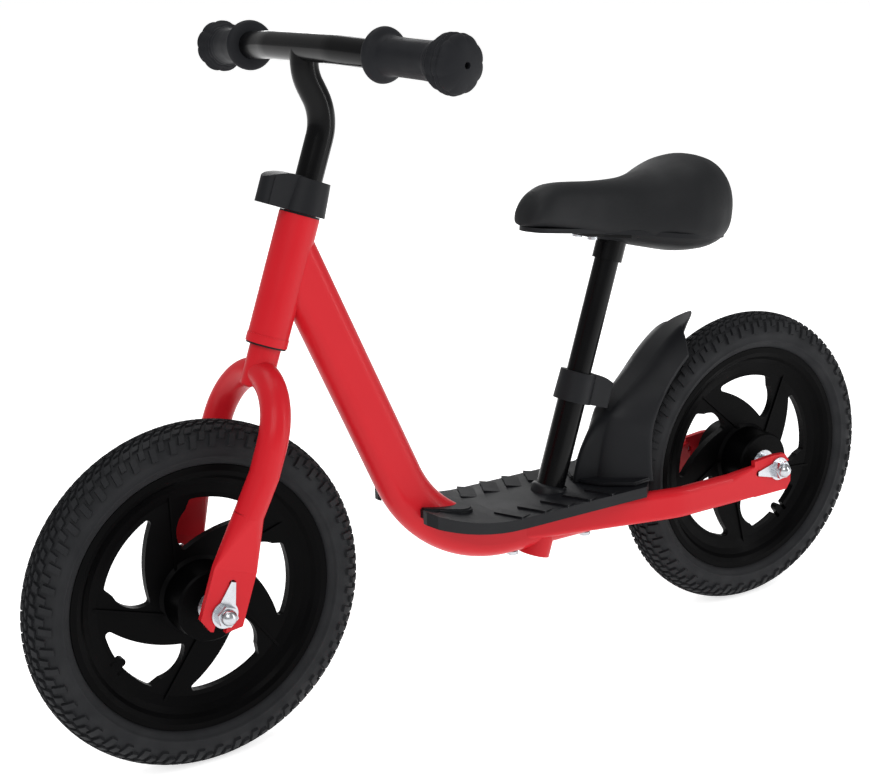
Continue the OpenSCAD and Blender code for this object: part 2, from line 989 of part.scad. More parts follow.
// Moulded grip: inner flange, slightly waisted sleeve and a ribbed end knob
module grip() {
    flange_t = 8;
    sleeve_r = 14.3;
    knob_l = 24;
    knob_r = grip_knob_d / 2;
    start = bar_half - bar_mid + 5 - grip_len;
    rotate([-90, 0, 0])
        translate([0, 0, start])
            difference() {
                union() {
                    cylinder(d = grip_flange_d, h = flange_t - 2);
                    translate([0, 0, flange_t - 2])
                        cylinder(d1 = grip_flange_d, d2 = grip_flange_d - 8, h = 3);
                    cylinder(r = sleeve_r, h = grip_len - 4);
                    translate([0, 0, grip_len - knob_l])
                        cylinder(r1 = knob_r - 5, r2 = knob_r, h = 5);
                    translate([0, 0, grip_len - knob_l + 5])
                        cylinder(r = knob_r, h = knob_l - 11);
                    translate([0, 0, grip_len - 6])
                        cylinder(r1 = knob_r, r2 = knob_r - 6, h = 6);
                }
                translate([0, 0, -1])
                    cylinder(d = bar_d + 2 * fit, h = grip_len - 4);
                cylinder(d = end_hole_d, h = grip_len + 1, $fn = 24);
            }
}

module left_grip() {
    color(black)
        in_steering()
            at_bar_end()
                grip();
}

module right_grip() {
    color(black)
        in_steering()
            mirror([0, 1, 0])
                at_bar_end()
                    grip();
}

// ---- saddle ----

plate_t = 3;
base_t = 4;
saddle_front = saddle_l * 0.47;
saddle_back = saddle_l - saddle_front;

module seat_post() {
    color(black)
        in_seat()
            tube(seat_post_d, seat_post_d - 2 * tube_wall,
                 seat_post_top - seat_post_len, seat_post_top - plate_t - 3);
}

// Saddle frame: its origin is the top of the post, with X along the saddle
module in_saddle() {
    in_seat()
        translate([0, 0, seat_post_top])
            rotate([0, 90 - seat_angle - saddle_tilt, 0])
                children();
}

bolt_at = [[32, 11], [32, -11], [-32, 20], [-32, -20]];

module saddle_bracket() {
    color(black) {
        difference() {
            in_saddle()
                translate([0, 0, -plate_t])
                    linear_extrude(plate_t)
                        intersection() {
                            translate([-42, -26])
                                square([84, 52]);
                            saddle_plan(6);
                        }
            in_saddle()
                for (b = bolt_at)
                    translate([b[0], b[1], -10])
                        cylinder(d = 5.4, h = 20, $fn = 24);
        }
        difference() {
            in_seat()
                translate([0, 0, seat_post_top - 26])
                    cylinder(d = seat_post_d + 5, h = 26);
            in_seat()
                translate([0, 0, seat_post_top - 60])
                    cylinder(d = seat_post_d, h = 60 - plate_t - 3);
            in_saddle()
                translate([-60, -60, -plate_t])
                    cube([120, 120, 40]);
        }
    }
}

module saddle_bolts() {
    color(steel)
        in_saddle()
            for (b = bolt_at)
                translate([b[0], b[1], -plate_t])
                    screw(5, 9, plate_t + base_t - 0.5);
}

// Plan of the saddle: a narrow nose, a flare and a round back
module saddle_plan(inset) {
    nose_r = 20 - inset;
    back_r = saddle_w / 2 - inset;
    nose_x = saddle_front - 20;
    back_x = -saddle_back + saddle_w / 2;
    translate([nose_x, 0])
        circle(r = nose_r);
    translate([back_x, 0])
        circle(r = back_r);
    polygon([[nose_x, -nose_r], [nose_x, nose_r], [nose_x - 60, nose_r + 3],
             [back_x + 42, back_r * 0.64], [back_x + 42, -back_r * 0.64],
             [nose_x - 60, -nose_r - 3]]);
}

// The part of the plan that the base pan fills, ahead of the rounded back
module pan_plan(inset) {
    pan_back = -saddle_back + 20 + inset;
    intersection() {
        saddle_plan(inset);
        translate([pan_back, -saddle_w])
            square([saddle_l, 2 * saddle_w]);
    }
}

module saddle_base() {
    color(black)
        in_saddle()
            difference() {
                linear_extrude(base_t)
                    pan_plan(4);
                for (b = bolt_at)
                    translate([b[0], b[1], -1])
                        cylinder(d = 5.1, h = base_t + 2, $fn = 24);
            }
}

module saddle_pad() {
    front = saddle_front;
    back = -saddle_back;
    color(black)
        in_saddle()
            difference() {
                intersection() {
                    translate([0, 100, base_t + gap])
                        rotate([90, 0, 0])
                            linear_extrude(200)
                                polygon([[front, 0], [front - 4, 17], [front - 14, 29],
                                         [front - 28, 35], [front - 60, 38],
                                         [front - 105, 42], [front - 128, 49],
                                         [front - 150, 59], [front - 180, 66],
                                         [back + 28, 63], [back + 12, 52], [back + 3, 38],
                                         [back, 20], [back + 6, 8], [back + 16, -4],
                                         [back + 32, -13], [back + 62, -19],
                                         [front - 105, -13], [front - 60, -5]]);
                    translate([0, 0, -30])
                        linear_extrude(130)
                            saddle_plan(0);
                }
                translate([0, 0, -40])
                    linear_extrude(40 + base_t + gap)
                        pan_plan(3.6);
            }
}

// ---- wheels, drawn about the axle's centre ----

module tyre() {
    half = tyre_w / 2;
    seat = rim_w / 2 - 2.5;
    color(satin_black)
        rotate([90, 0, 0])
            rotate_extrude($fn = 180)
                polygon([[seat_r + 0.1, -seat], [seat_r + 0.1, seat], [seat_r + 3.4, seat],
                         [seat_r + 3.4, seat + 2.5], [seat_r + 9, half - 3],
                         [seat_r + 16, half - 0.5], [seat_r + 20, half],
                         [wheel_r - 9, half - 2], [wheel_r - 4, half - 6],
                         [wheel_r - 1, half - 12], [wheel_r, half - 16],
                         [wheel_r, 16 - half], [wheel_r - 1, 12 - half],
                         [wheel_r - 4, 6 - half], [wheel_r - 9, 2 - half],
                         [seat_r + 20, -half], [seat_r + 16, 0.5 - half],
                         [seat_r + 9, 3 - half], [seat_r + 3.4, -seat - 2.5],
                         [seat_r + 3.4, -seat]]);
}

// One window between two spokes, pointed at angle 0 and round at its far end
module rim_window() {
    window_r = seat_r - 26;
    offset(r = 3, $fn = 32)
        offset(delta = -3)
            difference() {
                intersection() {
                    circle(r = window_r, $fn = 96);
                    union() {
                        translate([0.543 * window_r, 0.407 * window_r])
                            circle(r = 0.3 * window_r, $fn = 48);
                        polygon([[0.54, 0.4], [1.04, -0.08], [1.3, 0.4], [0.74, 0.77],
                                 [0.54, 0.7]] * window_r);
                    }
                }
                translate([-0.037 * window_r, -0.852 * window_r])
                    circle(r = 1.32 * window_r, $fn = 144);
            }
}

// The stub that bridges a valve hole in the mould, and the slot on each side of it
module valve_stub(grow) {
    window_r = seat_r - 26;
    rotate(23)
        translate([window_r - 1.5, 0]) {
            circle(r = 3.5 + grow, $fn = 32);
            translate([0, -3.5 - grow])
                square([8, 7 + 2 * grow]);
        }
}

module rim() {
    lip = rim_w / 2;
    seat = lip - 2.5;
    web = 3.5;
    hub_r = hub_d / 2;
    window_r = seat_r - 26;
    hub_half = hub_w / 2;
    first = 65;
    ridge_at = 18;
    color(black)
        rotate([90, 0, 0])
            difference() {
                union() {
                    rotate_extrude($fn = 180)
                        polygon([[axle_d / 2 + 1, hub_half], [hub_r - 1.5, hub_half],
                                 [hub_r, hub_half - 1.5], [hub_r + 1, web + 2],
                                 [hub_r + 4, web], [window_r + 4, web], [window_r + 12, 6],
                                 [seat_r - 9, 9], [seat_r - 6, 12], [seat_r - 2, lip],
                                 [seat_r + 3, lip], [seat_r + 3, seat], [seat_r, seat],
                                 [seat_r, -seat], [seat_r + 3, -seat], [seat_r + 3, -lip],
                                 [seat_r - 2, -lip], [seat_r - 6, -12], [seat_r - 9, -9],
                                 [window_r + 12, -6], [window_r + 4, -web], [hub_r + 4, -web],
                                 [hub_r + 1, -web - 2], [hub_r, 1.5 - hub_half],
                                 [hub_r - 1.5, -hub_half], [axle_d / 2 + 1, -hub_half]]);
                    // A low stiffening ridge along each spoke, on both faces
                    for (i = [0:4])
                        rotate(first + 25 + i * 72)
                            translate([20, -ridge_at - 1, -web - 1.5])
                                cube([window_r, 2, 2 * web + 3]);
                }
                for (i = [0:4])
                    rotate(first + i * 72)
                        mirror([0, 1, 0])
                            translate([0, 0, -30])
                                linear_extrude(60)
                                    difference() {
                                        union() {
                                            rim_window();
                                            if (i == 4)
                                                valve_stub(3.5);
                                        }
                                        if (i == 4)
                                            valve_stub(0);
                                    }
                for (s = [0, 1])
                    mirror([0, 0, s])
                        translate([0, 0, hub_half - bearing_w])
                            cylinder(d = bearing_d, h = bearing_w + 1);
            }
}

module bearings() {
    color(steel)
        both_sides()
            difference() {
                along_y(bearing_d / 2, hub_w / 2 - bearing_w, hub_w / 2);
                along_y(axle_d / 2 + fit, 0, hub_w);
            }
}

module front_rim() {
    at_front_axle()
        rotate([0, 90 - head_angle, 0])
            rim();
}

module front_tyre() {
    at_front_axle()
        tyre();
}

module front_bearings() {
    at_front_axle()
        bearings();
}

// The rear wheel is the same moulding, fitted the other way round
module rear_rim() {
    at_rear_axle()
        rotate([0, -23, 0])
            rotate([0, 0, 180])
                rim();
}

module rear_tyre() {
    at_rear_axle()
        tyre();
}

module rear_bearings() {
    at_rear_axle()
        bearings();
}

head_tube();
main_tube();
left_stay();
right_stay();
seat_tube();
upper_headset_bush();
lower_headset_bush();
footboard();
footboard_screws();
mudguard();
mudguard_screws();
seat_clamp_cover();
seat_clamp_band();
seat_clamp_bolt();
rear_axle();
rear_spacers();
rear_tab_washers();
rear_dome_nuts();
steerer_tube();
left_fork_leg();
right_fork_leg();
headset_clamp_cover();
headset_clamp_band();
headset_clamp_bolt();
front_axle();
front_spacers();
front_tab_washers();
front_dome_nuts();
stem_tube();
crossbar();
left_grip();
right_grip();
seat_post();
saddle_bracket();
saddle_bolts();
saddle_base();
saddle_pad();
front_rim();
front_tyre();
front_bearings();
rear_rim();
rear_tyre();
rear_bearings();
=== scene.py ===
import json
import math

import bmesh
import bpy
from mathutils import Matrix, Quaternion, Vector


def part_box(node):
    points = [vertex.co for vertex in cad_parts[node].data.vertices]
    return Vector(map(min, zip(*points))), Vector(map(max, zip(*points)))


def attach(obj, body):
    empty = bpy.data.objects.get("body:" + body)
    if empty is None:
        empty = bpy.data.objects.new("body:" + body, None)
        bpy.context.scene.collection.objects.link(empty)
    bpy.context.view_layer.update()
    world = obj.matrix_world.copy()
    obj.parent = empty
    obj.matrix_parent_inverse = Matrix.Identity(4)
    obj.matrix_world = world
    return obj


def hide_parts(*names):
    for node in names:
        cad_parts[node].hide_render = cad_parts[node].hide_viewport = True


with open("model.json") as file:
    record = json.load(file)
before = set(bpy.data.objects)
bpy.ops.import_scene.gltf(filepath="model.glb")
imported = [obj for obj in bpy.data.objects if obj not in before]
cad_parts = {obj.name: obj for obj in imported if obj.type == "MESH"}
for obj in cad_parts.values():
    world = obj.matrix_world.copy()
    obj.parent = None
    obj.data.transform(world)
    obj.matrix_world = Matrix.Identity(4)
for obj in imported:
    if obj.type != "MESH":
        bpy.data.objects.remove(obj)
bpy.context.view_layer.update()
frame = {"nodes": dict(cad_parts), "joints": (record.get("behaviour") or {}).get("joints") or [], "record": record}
joint = {j["name"]: j for j in frame["joints"]}
nodes_of_slot = {}
for part in frame["record"]["subparts"]:
    nodes_of_slot.setdefault(part["material_slot"], []).append(part["node"])


# ---- View, floor and lights -------------------------------------------------
# A catalogue view from the bike's left front, a little above the saddle, on a plain white
# sweep. One big soft box is the key, and two tall strips draw lines of light on the tubes.

scene = bpy.context.scene
camera = bpy.data.objects.new("camera", bpy.data.cameras.new("camera"))
scene.collection.objects.link(camera)
scene.camera = camera
camera.data.lens = 66.96
camera.data.sensor_width = 36
camera.location = (0.7548, 1.1273, 0.6367)
looks_at = Vector((0.0594, 0.0, 0.2710))
camera_roll = -0.036
camera.rotation_mode = "QUATERNION"
camera.rotation_quaternion = (
    (looks_at - camera.location).to_track_quat("-Z", "Y") @ Quaternion((0, 0, 1), camera_roll))

floor_reach = 60
floor_mesh = bpy.data.meshes.new("floor")
floor_mesh.from_pydata(
    [(x * floor_reach, y * floor_reach, 0) for x, y in ((-1, -1), (1, -1), (1, 1), (-1, 1))],
    [], [(0, 1, 2, 3)])
floor = bpy.data.objects.new("floor", floor_mesh)
scene.collection.objects.link(floor)

for name, place, power, width, depth in (
        ("key_softbox", (1.6, 1.9, 2.4), 36, 1.8, 1.8),
        ("top_softbox", (0.0, -0.6, 2.8), 26, 2.4, 1.6),
        ("left_strip", (-1.7, 1.5, 0.9), 13, 0.2, 1.9),
        ("back_strip", (-1.0, -2.2, 1.2), 12, 0.5, 2.0)):
    light = bpy.data.lights.new(name, "AREA")
    light.energy = power
    light.shape = "RECTANGLE"
    light.size = width
    light.size_y = depth
    lamp = bpy.data.objects.new(name, light)
    lamp.location = place
    lamp.rotation_mode = "QUATERNION"
    lamp.rotation_quaternion = (Vector((0, 0, 0.3)) - lamp.location).to_track_quat("-Z", "Y")
    scene.collection.objects.link(lamp)

world = bpy.data.worlds.new("studio")
scene.world = world
world.use_nodes = True
backing = world.node_tree.nodes["Background"]
backing.inputs["Color"].default_value = (1, 1, 1, 1)
backing.inputs["Strength"].default_value = 0.36
scene.view_settings.view_transform = "Standard"


# ---- Red frame and fork -----------------------------------------------------
# Welded steel tube in epoxy-polyester powder: head tube, main tube, stays, steerer and fork
# legs. The powder flows as it bakes, so the red is even, glossy and faintly orange-peeled.

def linear(code):
    """The linear RGBA values of a colour code such as #BE1822."""
    channels = [int(code[i:i + 2], 16) / 255 for i in (1, 3, 5)]
    return tuple(c / 12.92 if c <= 0.04045 else ((c + 0.055) / 1.055) ** 2.4
                 for c in channels) + (1,)


def put(tree, kind, settings=(), links=()):
    """Adds a shader node, sets its values and makes its links."""
    node = tree.nodes.new(kind)
    for name, value in dict(settings).items():
        if hasattr(node, str(name)):
            setattr(node, name, value)
        else:
            node.inputs[name].default_value = value
    for name, socket in dict(links).items():
        tree.links.new(socket, node.inputs[name])
    return node


def new_finish(name, **values):
    finish = bpy.data.materials.new(name)
    finish.use_nodes = True
    tree = finish.node_tree
    shader = tree.nodes["Principled BSDF"]
    for key, value in values.items():
        shader.inputs[key.replace("_", " ")].default_value = value
    return finish, tree, shader


def add_grain(tree, shader, size_mm, depth_mm, detail=2.0):
    """Noise in the object's own coordinates, as a bump of a real size and depth."""
    where = put(tree, "ShaderNodeTexCoord")
    noise = put(tree, "ShaderNodeTexNoise", {"Scale": 1000 / size_mm, "Detail": detail},
                {"Vector": where.outputs["Object"]})
    bump = put(tree, "ShaderNodeBump", {"Strength": 1.0, "Distance": depth_mm / 1000},
               {"Height": noise.outputs["Fac"]})
    tree.links.new(bump.outputs["Normal"], shader.inputs["Normal"])
    return where


def vary_roughness(tree, shader, where, size_mm, low, high):
    """Patches of handling: the roughness drifts between low and high."""
    patches = put(tree, "ShaderNodeTexNoise", {"Scale": 1000 / size_mm, "Detail": 3.0},
                  {"Vector": where.outputs["Object"]})
    spread = put(tree, "ShaderNodeMapRange",
                 {"From Min": 0.3, "From Max": 0.7, "To Min": low, "To Max": high},
                 {"Value": patches.outputs["Fac"]})
    tree.links.new(spread.outputs["Result"], shader.inputs["Roughness"])


def vary_colour(tree, shader, where, size_mm, dark, light):
    """The base colour drifts between two near shades, as pigment and light dust do."""
    patches = put(tree, "ShaderNodeTexNoise", {"Scale": 1000 / size_mm, "Detail": 4.0},
                  {"Vector": where.outputs["Object"]})
    mix = put(tree, "ShaderNodeMix", {"data_type": "RGBA"})
    mix.inputs[6].default_value = linear(dark)
    mix.inputs[7].default_value = linear(light)
    tree.links.new(patches.outputs["Fac"], mix.inputs[0])
    tree.links.new(mix.outputs[2], shader.inputs["Base Color"])


def surface(name, grain, shades, gloss, **values):
    """A finish with grain (size and depth in mm, detail), a drift between two shades (patch
    size in mm, dark, light) and a drift of roughness (patch size in mm, low, high)."""
    finish, tree, shader = new_finish(name, **values)
    where = add_grain(tree, shader, *grain)
    vary_colour(tree, shader, where, *shades)
    vary_roughness(tree, shader, where, *gloss)
    return finish


def finish_nodes(finish, names):
    for name in names:
        mesh = frame["nodes"][name].data
        mesh.materials.clear()
        mesh.materials.append(finish)


red_coat = surface(
    "red_powder_coat", (2.2, 0.02), (60, "#BE1822", "#C61C26"), (40, 0.32, 0.42),
    IOR=1.5, Specular_IOR_Level=0.16, Coat_Weight=0.06, Coat_Roughness=0.12)
finish_nodes(red_coat, nodes_of_slot["red_paint"])


# ---- Black bars, stem, seat tube and post -----------------------------------
# The same powder in black on 22.2 and 25.4 mm tube. It is deep and glossy, so the strips
# show as long thin lines of light.

black_coat = surface(
    "black_powder_coat", (2.2, 0.012), (50, "#050506", "#070708"), (40, 0.18, 0.26),
    IOR=1.5, Specular_IOR_Level=0.12, Coat_Weight=0.03, Coat_Roughness=0.07)
finish_nodes(black_coat, nodes_of_slot["black_paint"])


# ---- Footboard, clamp covers and bushes -------------------------------------
# Injection-moulded polypropylene from a spark-eroded tool: a fine matt grain with a soft
# sheen, and a faint drift between two near shades.

satin_plastic = surface(
    "satin_polypropylene", (0.9, 0.03, 4.0), (35, "#101114", "#16171A"), (30, 0.42, 0.56),
    IOR=1.49, Specular_IOR_Level=0.2)
finish_nodes(satin_plastic, nodes_of_slot["black_plastic"])


# ---- Rims -------------------------------------------------------------------
# One-piece polypropylene mouldings with five curved spokes. The tool is polished, so they
# are darker and smoother than the board.

rim_plastic = surface(
    "smooth_polypropylene", (3.0, 0.02), (40, "#020202", "#040405"), (25, 0.36, 0.5),
    IOR=1.49, Specular_IOR_Level=0.04)
finish_nodes(rim_plastic, ("front_rim", "rear_rim"))


# ---- Axles, nuts, washers, bands and screws ---------------------------------
# Turned and pressed steel with bright zinc plate. Tumbling in the barrel leaves a fine
# mottle and slightly uneven gloss.

zinc_plate = surface(
    "bright_zinc_plate", (1.2, 0.012), (4, "#B4B7BC", "#C8CBCF"), (6, 0.2, 0.36),
    Metallic=1.0)
finish_nodes(zinc_plate, nodes_of_slot["zinc_steel"] + nodes_of_slot["bearing_steel"])


# ---- Mudguard ---------------------------------------------------------------
# A thin polypropylene shell on the back of the board. A rounded rib runs up its middle, the
# flanks flare out at the foot, and a pointed beak comes out from under the tail.

wheel_r = 0.143
rear_axle = Vector(joint["rear_wheel_spin"]["pos_m"])
front_axle = Vector(joint["front_wheel_spin"]["pos_m"])
board_top = 0.1585
guard_foot = 0.062
guard_tail = 0.027
guard_half = 0.033
guard_wall = 0.0025
rib_start = 3
rib_fall = 4.35
rib_half = 0.011
rib_stands = 0.018
flank_start = 0.009
tail_angle = 60
beak_tip_half = 0.0008
beak_root_half = 0.0235
beak_wall = 0.002
beak_below = 0.0018


def ramp(points, x):
    """A smooth curve through points sorted by their first value."""
    if x <= points[0][0]:
        return points[0][1]
    if x >= points[-1][0]:
        return points[-1][1]
    i = max(k for k in range(len(points) - 1) if points[k][0] <= x)
    (x0, y0), (x1, y1) = points[i], points[i + 1]

    def slope(k):
        if k == 0 or k == len(points) - 1:
            near = points[1] if k == 0 else points[-2]
            return (near[1] - points[k][1]) / (near[0] - points[k][0])
        before = (points[k][1] - points[k - 1][1]) / (points[k][0] - points[k - 1][0])
        after = (points[k + 1][1] - points[k][1]) / (points[k + 1][0] - points[k][0])
        return 0 if before * after <= 0 else 2 * before * after / (before + after)

    width = x1 - x0
    t = (x - x0) / width
    return ((2 * t ** 3 - 3 * t ** 2 + 1) * y0 + (t ** 3 - 2 * t ** 2 + t) * width * slope(i)
            + (3 * t ** 2 - 2 * t ** 3) * y1 + (t ** 3 - t ** 2) * width * slope(i + 1))


# Each of these takes degrees up from the level of the axle, at the front of the rear wheel
def rib_r(angle):
    swing = min(math.pi, max(0.0, math.radians((angle - rib_start) * rib_fall)))
    return wheel_r + guard_tail + (guard_foot - guard_tail) * (0.5 + 0.5 * math.cos(swing))


def shell_r(angle):
    return min(wheel_r + guard_foot - rib_stands, rib_r(angle))


def edge_r(angle):
    return wheel_r + ramp([(2, 0.004), (16, 0.007), (28, 0.012), (61, 0.015)], angle)


def half_at(angle):
    return guard_half + ramp([(4, 0.010), (12, 0.005), (22, 0.001), (61, -0.001)], angle)


def guard_r(angle, across):
    """The guard's outer radius about the axle: rib in the middle, then shell, then flank."""
    rib = min(1.0, abs(across) / rib_half)
    flank = max(0.0, (abs(across) - flank_start) / (half_at(angle) - flank_start))
    return (shell_r(angle) - (shell_r(angle) - edge_r(angle)) * flank ** 1.7
            + (rib_r(angle) - shell_r(angle)) * (1 - rib * rib) ** 1.4)


def curved_sheet(face, rows, half_columns, wall):
    """A closed sheet about the rear axle. face(u, v) gives angle, across and radius."""
    shell = bmesh.new()
    layers = []
    for drop in (0.0, wall):
        grid = []
        for k in range(rows + 1):
            row = []
            for i in range(-half_columns, half_columns + 1):
                angle, across, radius = face(k / rows, i / half_columns)
                turn = math.radians(angle)
                row.append(shell.verts.new(rear_axle + Vector((
                    (radius - drop) * math.cos(turn), across, (radius - drop) * math.sin(turn)))))
            grid.append(row)
        layers.append(grid)
    outer, inner = layers
    for grid in layers:
        for a, b in zip(grid, grid[1:]):
            for i in range(2 * half_columns):
                shell.faces.new((a[i], a[i + 1], b[i + 1], b[i]))
    for a, b in ((outer[0], inner[0]), (outer[-1], inner[-1]),
                 ([row[0] for row in outer], [row[0] for row in inner]),
                 ([row[-1] for row in outer], [row[-1] for row in inner])):
        for i in range(len(a) - 1):
            shell.faces.new((a[i], a[i + 1], b[i + 1], b[i]))
    bmesh.ops.remove_doubles(shell, verts=shell.verts, dist=1e-6)
    bmesh.ops.recalc_face_normals(shell, faces=shell.faces)
    return shell


def new_piece(name, bm_parts, body, slot, finish, *stands_for):
    """Joins closed parts into one piece and ties it to its body."""
    mesh = bpy.data.meshes.new(name)
    whole = bmesh.new()
    for part in bm_parts:
        step = bpy.data.meshes.new("step")
        part.to_mesh(step)
        part.free()
        whole.from_mesh(step)
        bpy.data.meshes.remove(step)
    whole.to_mesh(mesh)
    whole.free()
    mesh.materials.append(finish)
    piece = bpy.data.objects.new(name, mesh)
    scene.collection.objects.link(piece)
    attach(piece, body)
    if stands_for:
        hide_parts(*stands_for)
    return piece


def skin(shell, rows, closed=True):
    """Faces between neighbouring rings of vertices; closed joins the last to the first."""
    for a, b in zip(rows, rows[1:] + (rows[:1] if closed else [])):
        for i in range(len(a)):
            j = (i + 1) % len(a)
            shell.faces.new((a[i], a[j], b[j], b[i]))


def smooth(shell, sharp_degrees=40):
    """Shades the faces smooth but keeps edges sharper than this hard."""
    for face in shell.faces:
        face.smooth = True
    for edge in shell.edges:
        if len(edge.link_faces) == 2 and edge.calc_face_angle() > math.radians(sharp_degrees):
            edge.smooth = False


def shell_face(u, v):
    """Rows from the board's top up to the rounded tail."""
    foot_angle = 6
    across = half_at(foot_angle) * v
    start = math.degrees(math.asin((board_top - wheel_r) / guard_r(foot_angle, across)))
    angle = start + (tail_angle - 8 * abs(v) ** 2.4 - start) * u
    across = half_at(angle) * math.copysign(abs(v) ** 1.15, v)
    return angle, across, guard_r(angle, across)


def beak_face(u, v):
    """Rows from under the tail out to the beak's point."""
    angle = tail_angle - 9 + 16 * u
    across = v * (beak_tip_half + beak_root_half * (1 - u) ** 0.8)
    return angle, across, guard_r(min(angle, 59), across) - beak_below - 0.0007 * (1 - u)


# The flange at the guard's foot, flat on the board: half its outline, in metres
foot_front = rear_axle.x + wheel_r + guard_foot - 0.003
foot_wide = guard_half + 0.012
foot_thick = 0.0035
board_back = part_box("footboard")[0][0]
foot = bmesh.new()
foot_outline = [(board_back, foot_wide - 0.003), (board_back + 0.020, foot_wide),
                (foot_front - 0.010, foot_wide * 0.6), (foot_front, 0.008)]
foot_ring = foot_outline + [(x, -y) for x, y in reversed(foot_outline)]
foot_face = foot.faces.new([foot.verts.new((x, y, board_top)) for x, y in foot_ring])
bulk = bmesh.ops.extrude_face_region(foot, geom=[foot_face])
bmesh.ops.translate(foot, verts=[v for v in bulk["geom"] if isinstance(v, bmesh.types.BMVert)],
                    vec=(0, 0, foot_thick))
bmesh.ops.recalc_face_normals(foot, faces=foot.faces)
bmesh.ops.bevel(foot, geom=foot.edges[:], offset=0.0012, segments=2, affect="EDGES")

guard_parts = [curved_sheet(shell_face, 70, 32, guard_wall),
               curved_sheet(beak_face, 16, 8, beak_wall), foot]
for part in guard_parts:
    smooth(part)
new_piece("rear_mudguard", guard_parts, "frame", "black_plastic", satin_plastic, "mudguard")


# ---- Deck collar ------------------------------------------------------------
# The raised lips of the footboard, moulded with it: a broad one that closes round the main
# tube, its top leaning up towards the front, and a thin one round the seat tube.

collar_half = 0.0235
collar_middle = 0.0530
collar_front = 0.087
collar_taper = 0.004
collar_lean = 0.2
collar_bottom = 0.1555
collar_deep = 0.009


def collar_top(x):
    return 0.1712 + collar_lean * (x - 0.066)


collar_outline = [(collar_front, -collar_half + collar_taper)]
collar_outline += [(collar_middle + collar_half * math.cos(math.radians(angle)),
                    collar_half * math.sin(math.radians(angle))) for angle in range(-90, -271, -9)]
collar_outline += [(collar_front, collar_half - collar_taper)]
collar = bmesh.new()
rings = []
for drop in (0.0, collar_deep):
    rings.append([collar.verts.new((x, y, max(collar_bottom, collar_top(x) - drop)))
                  for x, y in collar_outline])
collar.faces.new(rings[0])
collar.faces.new(rings[1])
skin(collar, rings, closed=False)
bmesh.ops.recalc_face_normals(collar, faces=collar.faces)
bmesh.ops.bevel(collar, geom=[e for e in collar.edges if all(v in rings[0] for v in e.verts)],
                offset=0.0015, segments=3, affect="EDGES")
smooth(collar, 35)

seat_axis = Vector(joint["seat_height"]["axis"]).normalized()
seat_foot = Vector((-0.0490, 0, 0.1295))
lip_place = seat_foot + seat_axis * ((board_top - seat_foot.z) / seat_axis.z)
lip_across = Vector((0, 1, 0)).cross(seat_axis)
# Radius and height along the seat tube, round the lip
lip_outline = [(0.0128, -0.0060), (0.0168, -0.0060), (0.0168, 0.0004), (0.0152, 0.0026),
               (0.0128, 0.0032)]
lip_steps = 64
lip = bmesh.new()
lip_rows = []
for k in range(lip_steps):
    turn = math.tau * k / lip_steps
    out = lip_across * math.cos(turn) + Vector((0, math.sin(turn), 0))
    lip_rows.append([lip.verts.new(lip_place + out * radius + seat_axis * rise)
                     for radius, rise in lip_outline])
skin(lip, lip_rows)
bmesh.ops.recalc_face_normals(lip, faces=lip.faces)
smooth(lip, 40)
new_piece("deck_collar", [collar, lip], "frame", "black_plastic", satin_plastic)


# ---- Tyres ------------------------------------------------------------------
# Solid rings of expanded EVA foam. On each side the tread has shoulder blocks and inner
# blocks, long and short by turns, small blocks inside those and slanted blocks along the
# middle. The skin is matt charcoal with closed cells of 1 mm.

tyre_foam = surface(
    "eva_foam_skin", (1.0, 0.06, 3.0), (26, "#131416", "#1C1D20"), (22, 0.6, 0.8),
    IOR=1.45, Specular_IOR_Level=0.3)

section_r = 0.121
crown_high = 0.0198
crown_wide = 0.0192
tread_high = 0.0022
tread_sunk = 0.0006
tread_draft = 0.0006
blocks_round = 50


def on_section(angle, lift):
    """Radius and distance across of a point on the section, in degrees from the crown."""
    turn = math.radians(angle)
    return (section_r + (crown_high + lift) * math.cos(turn), (crown_wide + lift) * math.sin(turn))


def tyre_body():
    """The ring under the tread, turned about Y with the axle at the origin."""
    side = [(0.1072, 0.0115), (0.1104, 0.0116), (0.1106, 0.0140), (0.1125, 0.0160),
            (0.1148, 0.0174), (0.1160, 0.0180), (0.1166, 0.0188), (0.1175, 0.0192),
            (0.1184, 0.0190), (0.1190, 0.0186)]
    side += [on_section(angle, 0) for angle in range(84, 3, -6)]
    outline = side + [on_section(0, 0)] + [(r, -y) for r, y in reversed(side)]
    steps = 200
    ring = bmesh.new()
    rows = []
    for k in range(steps):
        turn = math.tau * k / steps
        rows.append([ring.verts.new((r * math.cos(turn), y, r * math.sin(turn)))
                     for r, y in outline])
    skin(ring, rows)
    bmesh.ops.recalc_face_normals(ring, faces=ring.faces)
    smooth(ring, 60)
    return ring


def tread_block(start, stop, width, lean, side):
    """One block at the top of the wheel, from start to stop degrees round the section."""
    block = bmesh.new()
    rows = 4
    grid = {}
    for top, lift, inset in ((0, -tread_sunk, 0.0), (1, tread_high, tread_draft)):
        for i in range(rows + 1):
            share = i / rows
            ends = math.degrees(inset / crown_wide)
            angle = start + ends + (stop - start - 2 * ends) * share
            radius, across = on_section(angle, lift)
            for edge in (-1, 1):
                along = lean * share + edge * (width / 2 - inset)
                turn = along / radius
                grid[top, i, edge] = block.verts.new(
                    (radius * math.sin(turn), side * across, radius * math.cos(turn)))
    for i in range(rows):
        for top in (0, 1):
            block.faces.new((grid[top, i, -1], grid[top, i, 1],
                             grid[top, i + 1, 1], grid[top, i + 1, -1]))
        for edge in (-1, 1):
            block.faces.new((grid[0, i, edge], grid[0, i + 1, edge],
                             grid[1, i + 1, edge], grid[1, i, edge]))
    for i in (0, rows):
        block.faces.new((grid[0, i, -1], grid[0, i, 1], grid[1, i, 1], grid[1, i, -1]))
    bmesh.ops.recalc_face_normals(block, faces=block.faces)
    mesh = bpy.data.meshes.new("tread_block")
    block.to_mesh(mesh)
    block.free()
    return mesh


